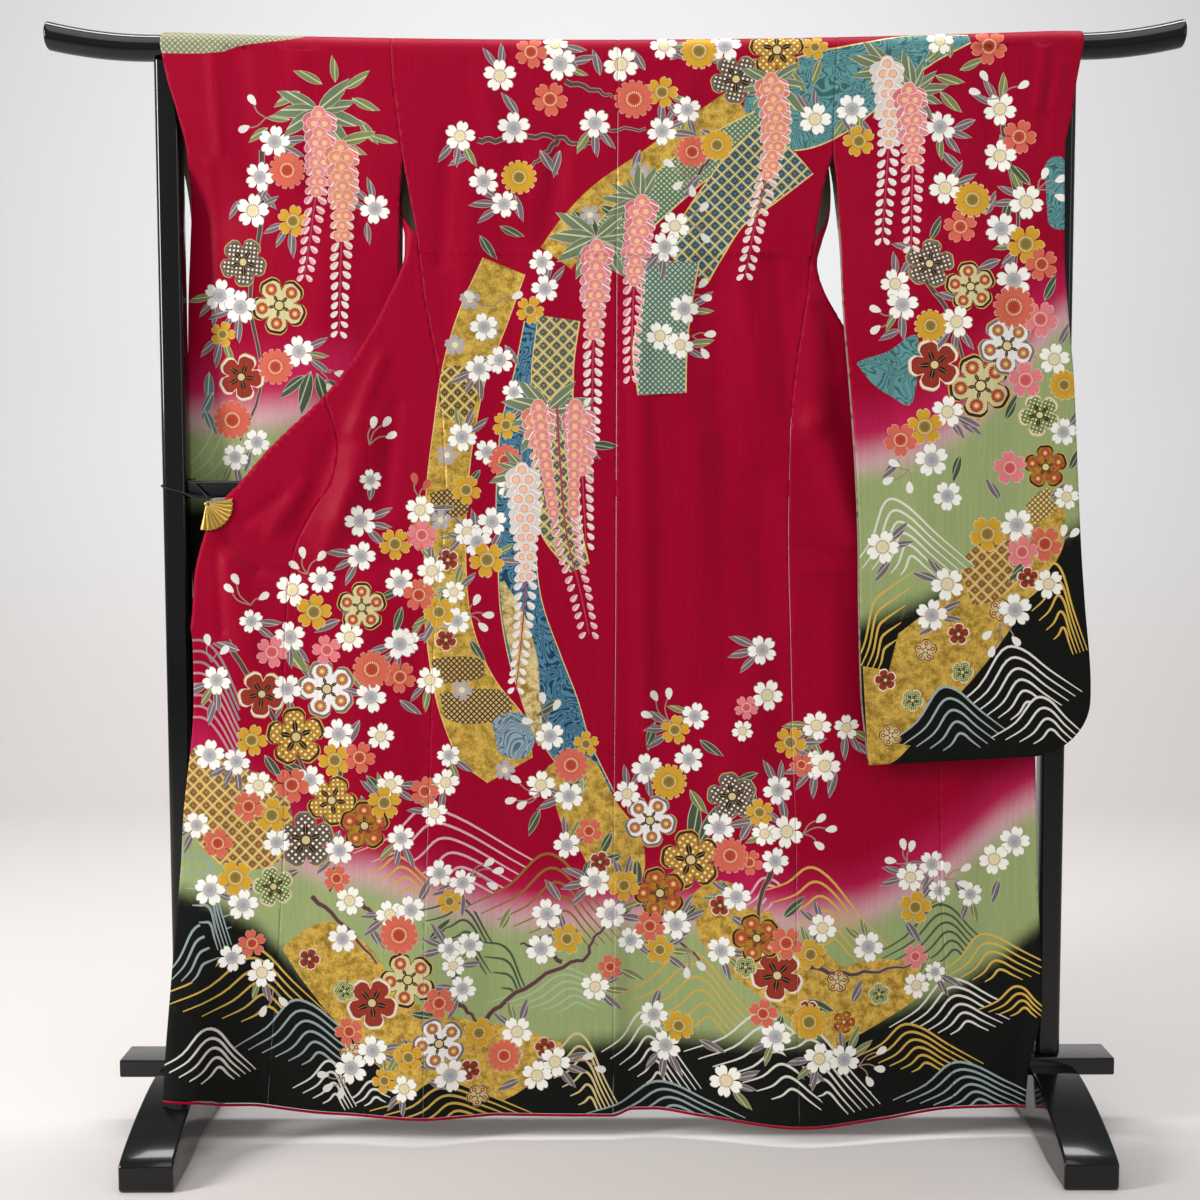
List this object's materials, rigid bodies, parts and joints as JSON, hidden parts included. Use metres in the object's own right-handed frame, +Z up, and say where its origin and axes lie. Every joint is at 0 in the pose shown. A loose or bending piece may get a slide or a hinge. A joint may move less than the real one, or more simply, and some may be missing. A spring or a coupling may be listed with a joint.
{
  "type": "furisode kimono on a display stand",
  "caption": "Silk furisode hung back side out over a black lacquered stand, with long swinging sleeves and a fanned hem, its front edge held by a small gilt clip.",
  "frame": {"origin": "on the floor, under the middle of the stand's top bar", "axes": "+X along the top bar to the right of someone facing the kimono's back, -Y towards that viewer, +Z up"},
  "size_m": [1.7, 0.502, 1.6924],
  "materials": {
    "silk": "soft silk crepe, resist dyed",
    "lining": "plain silk",
    "lacquer": "gloss black lacquer",
    "gilt": "polished",
    "jaw": "satin",
    "cord": "braided"
  },
  "bodies": {
    "root": {"top_bar": "lacquer", "post_left": "lacquer", "post_right": "lacquer", "mid_rail": "lacquer", "lower_rail": "lacquer", "foot_left": "lacquer", "foot_right": "lacquer", "back_left": "silk", "back_right": "silk", "front_left": "silk", "front_right": "silk", "okumi_left": "silk", "okumi_right": "silk", "collar": "silk", "hem_roll": "lining", "sleeve_left": "silk", "sleeve_right": "silk", "clip_fan": "gilt", "clip_jaw": "jaw", "clip_rivet": "gilt", "clip_cord": "cord"}
  },
  "joints": []
}
